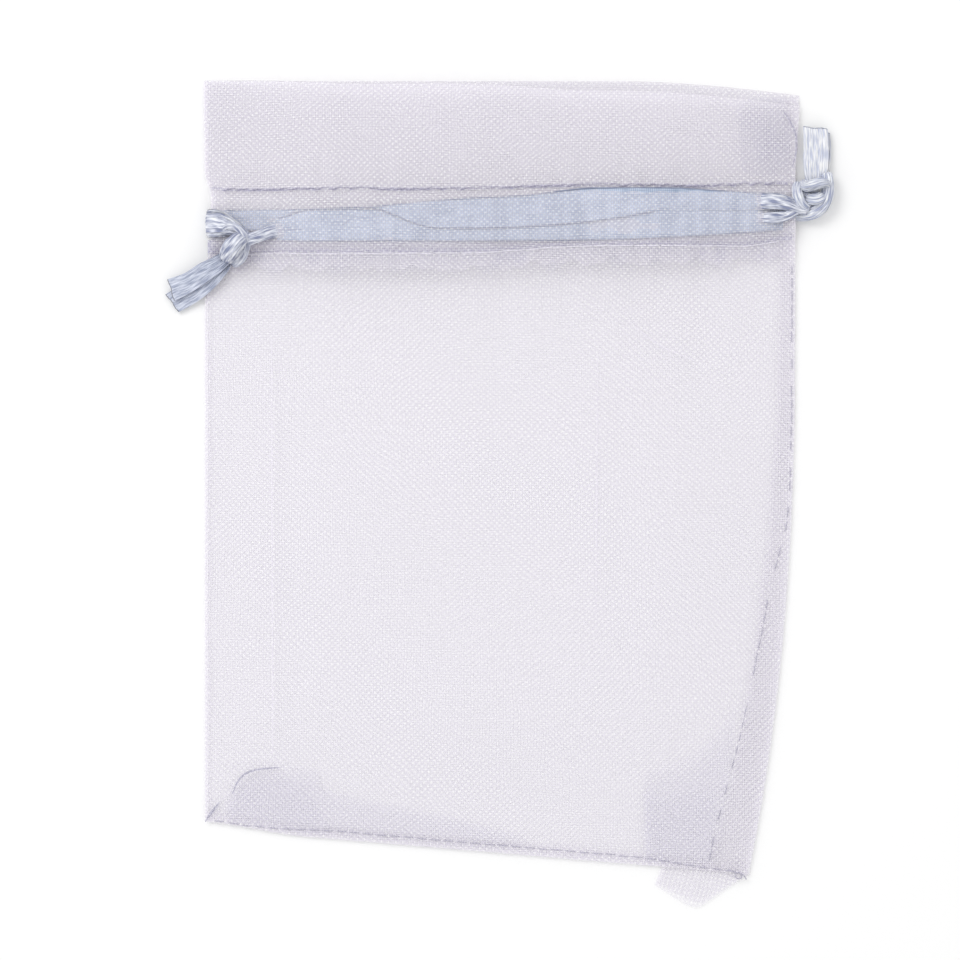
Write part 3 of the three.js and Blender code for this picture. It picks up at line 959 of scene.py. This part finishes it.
# Each turn of a knot: its path, its widths and heights along it, pleats, their depth, and twist.
LEFT_TURNS = (
    # from the back casing round the left edge to the front
    ([(-43, 37.6, 0.6), (-44.7, 37.6, 0.65), (-45.35, 37.6, 1.3), (-44.9, 37.6, 2.2),
      (-43.4, 37.5, 2.8), (-41.9, 37.1, 3.2), (-40.6, 36.4, 3.4), (-39.7, 35.2, 3.3)],
     [4.2, 4.3, 4.5, 4.5, 4, 2.9, 2.1, 1.8], [0.7, 0.8, 0.9, 1.2, 1.5, 1.6, 1.5, 1.4],
     19, 0.26, 0.02, (-1, 0, 0.2)),
    # out of the front casing's slit into the knot
    ([(-33.4, 36.75, 2.7), (-34.6, 36.45, 3.2), (-35.6, 36.15, 3.7), (-36.6, 35.8, 4),
      (-37.7, 35.4, 4.1), (-38.8, 35.05, 4), (-40, 34.6, 3.5)],
     [2.6, 2.3, 2.1, 1.9, 1.9, 2, 2], [0.3, 0.5, 0.8, 1.1, 1.4, 1.5, 1.4], 13, 0.26, 0.05),
    # the loop over the top of the knot
    ([(-43.2, 35.7, 2), (-42.5, 36.8, 3.3), (-41.4, 37.1, 4.2), (-40.3, 36.5, 4.6),
      (-39.5, 35.3, 4.4), (-39.4, 33.9, 3.6), (-40.2, 33, 2.6)],
     [1.3, 1.3, 1.3, 1.3, 1.4, 1.5, 1.4], [1, 1.1, 1.2, 1.3, 1.4, 1.5, 1.4], 9, 0.28, 0.12),
    # the front turn of the knot, down over the middle and under the tails
    ([(-39.2, 36.2, 3), (-39.8, 35.5, 4.3), (-40.7, 34.6, 5), (-41.5, 33.6, 4.9),
      (-42.2, 32.6, 4), (-42.6, 31.9, 2.7)],
     [1.6, 2.3, 2.8, 3.1, 2.9, 2.1], [1.2, 1.4, 1.6, 1.7, 1.5, 1.2], 15, 0.26, 0.08),
    # the turn under it
    ([(-40, 34.6, 2.6), (-39.7, 33.6, 3.2), (-40, 32.6, 3.2), (-40.8, 31.7, 2.8),
      (-41.6, 31.4, 2.2)],
     [1.4, 1.7, 1.9, 1.8, 1.5], [1.2, 1.4, 1.5, 1.4, 1.2], 10, 0.26, 0.14),
    # the middle of the knot
    ([(-42.9, 34.2, 2.2), (-41.4, 33.9, 2.7), (-39.9, 34, 2.5)],
     [2.6, 3, 2.4], [1.8, 2.4, 1.8], 7, 0.2, 0.1),
)
RIGHT_BUNCHES = (
    # the two bunches where the ribbon comes out of the front casing
    ([(38, 41.2, 1.8), (39.2, 41.15, 2), (40.5, 41.1, 2.4), (41.9, 41.05, 3),
      (43.5, 40.9, 3.1), (45, 40.5, 2.9), (46.4, 40, 2.6), (47.8, 39.8, 2.2)],
     [2.9, 2.8, 2.7, 2.6, 2.5, 2.2, 1.9, 1.8], [0.3, 0.4, 0.7, 1.1, 1.3, 1.5, 1.5, 1.4],
     15, 0.24, 0.04),
    ([(38.4, 38.8, 1.7), (39.8, 38.6, 1.9), (41.2, 38.5, 2.4), (42.6, 38.5, 2.8),
      (44, 38.7, 2.8), (45.2, 39.2, 2.6), (46.4, 39.8, 2.3)],
     [2.2, 2, 1.8, 1.8, 1.7, 1.6, 1.4], [0.3, 0.4, 0.6, 1, 1.2, 1.3, 1.2], 11, 0.26, 0.05),
)
RIGHT_TURNS = (
    # the band round the outside of the knot
    ([(45.3, 38.9, 0.9), (46.9, 38.9, 1.3), (48.7, 39.4, 1.8), (50.1, 40.6, 2.1),
      (50.75, 42.3, 2.2), (50.8, 44.2, 2.1), (50.6, 45.6, 1.8)],
     [1.5, 2, 2.3, 2.3, 2.1, 2, 1.9], [1.2, 1.4, 1.7, 1.9, 1.9, 1.6, 1.3], 15, 0.24, 0.05),
    # three turns across it
    ([(46.3, 44, 1), (46.1, 42.8, 2.2), (46.3, 41.5, 2.9), (46.9, 40.4, 2.8),
      (48, 39.9, 2.1)],
     [1.5, 1.7, 1.8, 1.7, 1.4], [1.2, 1.4, 1.5, 1.4, 1.2], 11, 0.26, 0.1),
    ([(47.2, 44.2, 1), (47.6, 43.4, 2.4), (48.7, 43.6, 3.3), (49.9, 43.9, 3.2),
      (50.9, 43.7, 2.2)],
     [1.9, 2.3, 2.6, 2.4, 1.8], [1.3, 1.5, 1.7, 1.6, 1.3], 15, 0.24, 0.08),
    ([(47.5, 42.2, 1), (48.2, 41.5, 2.4), (49.2, 41.4, 2.9), (50.2, 42, 2.4)],
     [1.6, 2, 2.1, 1.7], [1.3, 1.5, 1.6, 1.4], 11, 0.26, 0.1),
    # the middle of the knot
    ([(46.6, 42, 1.2), (48.3, 41.6, 1.4), (49.9, 41.9, 1.3)],
     [3.4, 3.9, 3.2], [1.6, 1.9, 1.6], 9, 0.2, 0.1),
)
# Each free end: its two woven edges, pleats, their height, and how far along they fade.
LEFT_TAILS = {
    "upper": (
        [(-43, 33.2, 2.7), (-44.6, 32.3, 2.6), (-46.6, 31.4, 2), (-49, 29.9, 1.5),
         (-51.55, 29, 1.3)],
        [(-41.7, 31.6, 2.9), (-43, 30.3, 2.7), (-45.2, 28.7, 2.1), (-47.8, 27, 1.6),
         (-50.55, 25.6, 1.4)],
        7, 0.42, 3.2),
    "lower": (
        [(-42.6, 32.6, 2.2), (-44.4, 31.2, 2), (-46.8, 29.8, 1.3), (-49.4, 28.3, 0.8),
         (-51.9, 26.7, 0.6)],
        [(-41.5, 31.5, 2.3), (-42.4, 29.9, 2.1), (-44.4, 27.6, 1.7), (-46.9, 25.6, 1),
         (-49.9, 23.9, 0.7)],
        7, 0.42, 3),
}
RIGHT_TAILS = {
    "upper": (
        [(47.6, 43.6, 1.9), (47.2, 45.2, 1.9), (47.05, 47.4, 1.7), (47.1, 50, 1.6),
         (47.1, 52.6, 1.5)],
        [(50, 43.6, 1.9), (50.7, 45.2, 1.9), (51, 47.4, 1.7), (51.05, 50, 1.6),
         (50.9, 52.3, 1.5)],
        8, 0.3, 12),
    "lower": (
        [(47.9, 43.6, 1), (47.6, 45.2, 1), (47.4, 47.4, 0.9), (47.4, 49.8, 0.8),
         (47.5, 51.9, 0.8)],
        [(50.2, 43.6, 1), (51, 45.2, 1), (51.4, 47.4, 0.9), (51.45, 49.6, 0.8),
         (51.3, 51.7, 0.8)],
        7, 0.26, 12),
}


def make_knot(side, turns, material, tails, cut_material, tail_material):
    """One ribbon's knot and its two free ends, each with its cut edge."""
    body = f"{side}_drawstring"
    knot = solid(f"{side}_knot_tied", [bundle(*turn) for turn in turns], material)
    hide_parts(f"{side}_knot")
    rides(knot, body)
    made = {level: fan(*tail) for level, tail in tails.items()}
    for level, (part, rim) in made.items():
        node = f"{side}_tail_{level}"
        rides(solid(f"{node}_cut", [rim], cut_material), body)
        tail = solid(f"{node}_end", [part], tail_material)
        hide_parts(node)
        rides(tail, body)


def make_knots():
    # the left tails take a darker copy of the satin, painted shade; the right knot and tails
    # lighter copies, painted light
    make_knot("left", LEFT_TURNS, SATIN, LEFT_TAILS, CUT, SHADED_TAIL_SATIN)
    bunches = solid("right_ribbon_bunches", [bundle(*turn) for turn in RIGHT_BUNCHES], SATIN)
    rides(bunches, "right_drawstring")
    make_knot("right", RIGHT_TURNS, LIT_SATIN, RIGHT_TAILS, EDGE_SHADOW_AND_CUT, BRIGHT_SATIN)


# ---------------- seam allowances


def strip(outline_a, outline_b, turn, seed, columns):
    """A strip of the same cloth between two lines of points."""
    a, b = np.asarray(outline_a, float), np.asarray(outline_b, float)
    t = np.linspace(0, 1, columns)[None, :, None]
    points = a[:, None] + (b - a)[:, None] * t
    uv = weave_uv(points[..., 0], points[..., 1], turn, 1.0, 0.3, seed)
    return grid(points, uv)


def make_allowances():
    """The sewn edges turned to the inside, which show through as denser strips."""
    pieces = {"left": [], "right": []}
    for side in SIDES:
        s = SIDES[side]
        y = np.linspace(BOTTOM + 0.6, TOP - 0.8, 260)
        edge = left_side(y) if s < 0 else right_side(y)
        down = np.clip((22 - y) / 82, 0, 1) ** 1.2
        width = 0.9 if side == "left" else 2.6 + 3.6 * down
        width = width + 0.12 * waves(y, 0, 41, 3, 9, 20, 0)
        parts = []
        for k, z in enumerate((0.6,) if side == "left" else (0.6, 0.5)):
            near = joined(edge - s * 0.15, on_level(edge, y), z)
            far_x = edge - s * (width - 0.35 * k)
            far = joined(far_x, on_level(far_x, y), z)
            parts.append(strip(near, far, 0.8 * (k + 1) * s, 50 + k, 14))
        obj = solid(f"{side}_side_allowance", parts, ORGANZA)
        pieces[side].append(gathers(obj))
    x = np.linspace(-HALF + 0.6, HALF - CORNER_INSET - 0.3, 240)
    base = level_lines(x)[0]
    parts = []
    for k, z in enumerate((0.5, 0.62)):
        low, high = joined(x, base + 0.08, z), joined(x, base + 1.9 - 0.5 * k, z)
        parts.append(strip(low, high, 0.7 * (k + 1), 60 + k, 8))
    pieces["left"].append(rides(solid("bottom_allowance", parts, ORGANZA), "pouch"))
    return pieces


PATCH_ROWS, PATCH_COLUMNS = 90, 60
PATCH_SOFT = 0.3  # share of a patch over which its upper edge fades


def patch(name, top_line, low_line, z, turn, seed, material):
    """Doubled cloth that lies folded inside the pouch, between two lines."""
    sides = [
        np.insert(even(smooth_path(line, 0.4), PATCH_ROWS), 2, z, axis=1)
        for line in (top_line, low_line)
    ]
    at, across = np.linspace(0, 1, PATCH_ROWS), np.linspace(0, 1, PATCH_COLUMNS)
    ends = smooth(at / 0.07) * smooth((1 - at) / 0.12)
    fade = ends[:, None] * (0.35 + 0.65 * smooth(across / PATCH_SOFT))[None, :]
    return solid(name, [strip(*sides, turn, seed, PATCH_COLUMNS)], material, fade.reshape(-1))


def crease(points, z, width):
    """A sharp fold in the cloth: a narrow strip of doubled layers along a line."""
    path = smooth_path([(x, y, z) for x, y in points], 0.25)
    along = np.gradient(path, axis=0)
    side = joined(-along[:, 1], along[:, 0], 0)
    side /= np.linalg.norm(side, axis=1, keepdims=True)
    taper = np.sin(np.linspace(0.12, math.pi - 0.12, len(path)))[:, None] ** 0.5
    half = side * width / 2 * taper
    parts = []
    for k in range(4):
        up = np.array([0, 0, 0.04 * k])
        parts.append(strip(path - half + up, path + half + up, 8.0 + 9 * k, 120 + k, 4))
    return parts


def foot(x):
    return float(level_lines(np.array([float(x)]))[0][0]) + 0.5


def above_foot(xs):
    return [(x, foot(x)) for x in xs]


# The foot folds are real folded layers in a slightly darker, bluer tone of the organza: painted
# shade.
# Cloth folded inside at the foot: its upper line, the places in x of its lower line on the
# bottom seam, its height, the turn of its weave, a seed, and its side.
FOOT_FOLDS = {
    "foot_fold_left": (
        [(-43.4, -54.4), (-42.6, -51.6), (-41, -48.9), (-38.6, -47.2), (-34.9, -46.7),
         (-28.6, -47.1), (-27.6, -49.9), (-21, -51.8), (-9.3, -54.2), (6, -58)],
        (-43.2, -40, -37, -34, -31, -28, -25, -18, -8, 6), 0.5, 3, 81, "left"),
    "foot_bulge_left": (
        [(-43, -54.6), (-41.6, -51.4), (-39.8, -49), (-36, -47.9), (-31.6, -48.9),
         (-29, -51.6), (-26.2, -56.2)],
        (-42.8, -40.4, -38, -35.2, -32, -29, -26), 0.63, -2, 83, "left"),
    "foot_fold_right": (
        [(21.8, -47.4), (25, -47), (28.5, -45.6), (31.5, -43.6), (34.6, -40.4),
         (37.4, -36.5)],
        (22.2, 25.4, 28.4, 31.2, 33.6, 35), 0.5, -4, 85, "right"),
    "foot_bulge_right": (
        [(22, -50.6), (25, -51.6), (28.5, -51), (31.5, -49.6), (34, -50.6)],
        (22.3, 25.4, 28.4, 31.2, 33.4), 0.63, 5, 87, "right"),
}
# The header folds are in a dark, bluish tone of the organza: painted shade at the header's right
# corner.
# Cloth folded inside at the header's right corner: where each layer starts, its top and its foot.
HEADER_FOLDS = ((36.8, 57.2, 45), (39.2, 55.4, 45.9), (41.2, 53.6, 46.6))
# The header and foot creases are in a dark tone of the organza: painted shade along the folds. The
# body creases are plain organza.
# Creases: line, height and width of each.
HEADER_CREASES = (
    ([(44, 55), (45.1, 53.4), (45.9, 51.4), (46, 49), (45.4, 46.4)], 1.75, 0.32),
)
FOOT_CREASES = (
    ([(-41.6, -51), (-40.4, -48.6), (-38.4, -47.3), (-34.2, -46.8)], 1.9, 0.32),
    ([(-45.8, -55.3), (-44.9, -54), (-43.6, -52.3)], 1, 0.4),
)
LEFT_CREASES = (([(-35.4, 20), (-35.3, -10), (-35.2, -44.5)], 3.5, 0.2),)
RIGHT_CREASES = (
    ([(15.1, 17.6), (15, -4), (14.9, -26.5)], 3.75, 0.16),
    ([(19.8, 22.4), (24.5, 18.8), (29.8, 16.4)], 3.75, 0.22),
)


def shadow_layers(upper, lower, turn, turn_step, seed, seed_step, columns):
    """Three strips of painted shadow between two lines, each a little lower than the one before it.
    """
    return [
        strip(
            upper - [0, 0, 0.05 * k], lower - [0, 0, 0.05 * k],
            turn + turn_step * k, seed + seed_step * k, columns)
        for k in range(3)
    ]


def casing_folds(side):
    """The folded hem under the front casing, in a dark tone of painted shade, and strips of painted
    shadow under the ribbon and along the upper row, by piece name.
    """
    s = SIDES[side]
    x = s * np.linspace(0, HALF - 0.6, 150)
    row = level_lines(x)[1]
    drop = 3.2 + 0.8 * waves(x, 0, 18, 4, 4, 15, 0)
    z = FRONT_HEM - 0.12 + lift(x / HALF, LOWER_ROW - 2)
    # the hem below the lower row: a real turned-in layer, in a dark tone of painted shade
    hem = strip(joined(x, row + 0.4, z), joined(x, row - drop, z), 2.0 * s, 101, 16)
    fade = np.tile(smooth((1 - np.linspace(0, 1, 16)) / 0.6), len(x))
    # between the ribbon and the lower row: dark strips of painted shadow below the ribbon
    close = front_z(x, LOWER_ROW, -0.1)
    gap_shadow = shadow_layers(
        joined(x, lower_run_edges(x)[0] + 0.25, close), joined(x, row + 0.1, close),
        3.0, 8, 131, 1, 8)
    # along the upper row: dark strips of painted shadow under the nipped-up cloth
    nip = row_route(side, UPPER_ROW, True, 0.02)
    off = np.array([0, 0.24, 0])
    nipped = shadow_layers(nip - off, nip + off, 5.0, 7, 105, 0, 4)
    return {
        "casing_hem_shade": ([hem], fade),
        "casing_gap_shadow": (gap_shadow, None),
        "casing_nip_shadow": (nipped, None),
    }


def make_folded_corners():
    """Where the cloth is folded over inside, at three corners, and the creases that show."""
    made = {"left": [], "right": []}
    for name, (top, low, z, turn, seed, side) in FOOT_FOLDS.items():
        fold = patch(name, top, above_foot(low), z, turn, seed, FOLD_SHADE)
        made[side].append(rides(fold, "pouch"))
    for k, (reach, top, low) in enumerate(HEADER_FOLDS):
        fold = patch(
            f"header_fold_shade_{k}",
            [(reach, top - 1.2), (reach + 2, top - 0.2), (43.5, top), (45.6, top - 0.3)],
            [(reach + 0.6, low + 1.4), (reach + 1.8, low + 0.3), (43.2, low), (45.4, low)],
            0.5 + 0.13 * k, 5.0 - 6 * k, 91 + 2 * k, SHADED)
        made["right"].append(gathers(fold))
    for side in SIDES:
        for name, (parts, fade) in casing_folds(side).items():
            fold = solid(f"{name}_{side}", parts, SHADED, fade)
            made[side].append(gathers(fold))
    for name, side, lines, material in (
        ("header_crease", "right", HEADER_CREASES, CREASE_SHADE),
        ("foot_creases_left", "left", FOOT_CREASES, CREASE_SHADE),
        ("body_creases_left", "left", LEFT_CREASES, ORGANZA),
        ("body_creases_right", "right", RIGHT_CREASES, ORGANZA),
    ):
        obj = solid(name, [part for line in lines for part in crease(*line)], material)
        if lines is FOOT_CREASES:
            rides(obj, "pouch")
        else:
            gathers(obj)
        made[side].append(obj)
    return made


def make_flap():
    """The corner of the seam allowance that sticks out below the right-hand corner."""
    y0 = level_lines(np.array([26.0]))[0][0] + 1.2
    top_edge = smooth_path([(25.6, y0, 0.45), (30.0, y0 - 0.6, 0.45), (34.6, y0 - 1.1, 0.45),
                            (38.9, y0 - 2.3, 0.45)], 0.3)
    low_edge = smooth_path([(24.1, -65.2, 0.3), (26.4, -66.7, 0.4), (29.2, -68.3, 0.5),
                            (31.0, -68.5, 0.45), (34.6, -66.2, 0.4), (38.7, -63.6, 0.4)], 0.3)
    a, b = even(top_edge, 60), even(low_edge, 60)
    first = strip(a, b, -31.0, 71, 30)
    under = np.sin(math.pi * np.linspace(0, 1, 60))[:, None] ** 0.5
    second = strip(a + [0.2, 0, -0.16], b + np.array([0.7, 0.75, -0.16]) * under, -29.5, 73, 30)
    return rides(solid("corner_flap", [first, second], ORGANZA), "pouch")


# ---------------- camera, light and table


CAMERA_HEIGHT = 0.8
VIEW_WIDTH = 0.1488  # of the table, across the picture
VIEW_MIDDLE = (-0.0031, -0.0022)
WORLD_STRENGTH = 0.90
KEY_PLACE, KEY_SIZE, KEY_POWER = (-0.45, 0.45, 0.75), 0.5, 2.7
TABLE_REACH = 3.0


def look_down():
    data = bpy.data.cameras.new("camera")
    camera = place("camera", data)
    data.sensor_width = 36
    data.lens = data.sensor_width * CAMERA_HEIGHT / VIEW_WIDTH
    data.clip_end = 20
    camera.location = (*VIEW_MIDDLE, CAMERA_HEIGHT + 0.003)
    bpy.context.scene.camera = camera


def light_up():
    scene = bpy.context.scene
    scene.view_settings.view_transform = "Standard"
    scene.cycles.transparent_max_bounces = 40
    world = bpy.data.worlds.new("studio")
    scene.world = world
    world.use_nodes = True
    background = world.node_tree.nodes["Background"]
    background.inputs["Color"].default_value = (1, 1, 1, 1)
    background.inputs["Strength"].default_value = WORLD_STRENGTH
    data = bpy.data.lights.new("key", "AREA")
    data.shape = "DISK"
    data.size = KEY_SIZE
    data.energy = KEY_POWER
    key = place("key", data)
    key.location = KEY_PLACE
    key.rotation_euler = (-key.location).to_track_quat("-Z", "Y").to_euler()
    mesh = bpy.data.meshes.new("table")
    r = TABLE_REACH
    mesh.from_pydata([(-r, -r, 0), (r, -r, 0), (r, r, 0), (-r, r, 0)], [], [(0, 1, 2, 3)])
    mesh.materials.append(floor_material())
    place("table", mesh)


look_down()
light_up()
sewn = make_allowances()
sewn["right"].append(make_flap())
for side, folds in make_folded_corners().items():
    sewn[side] += folds
make_panels()
make_rows()
make_side_seams()
make_bottom_seam()
make_casing_ribbons()
make_knots()
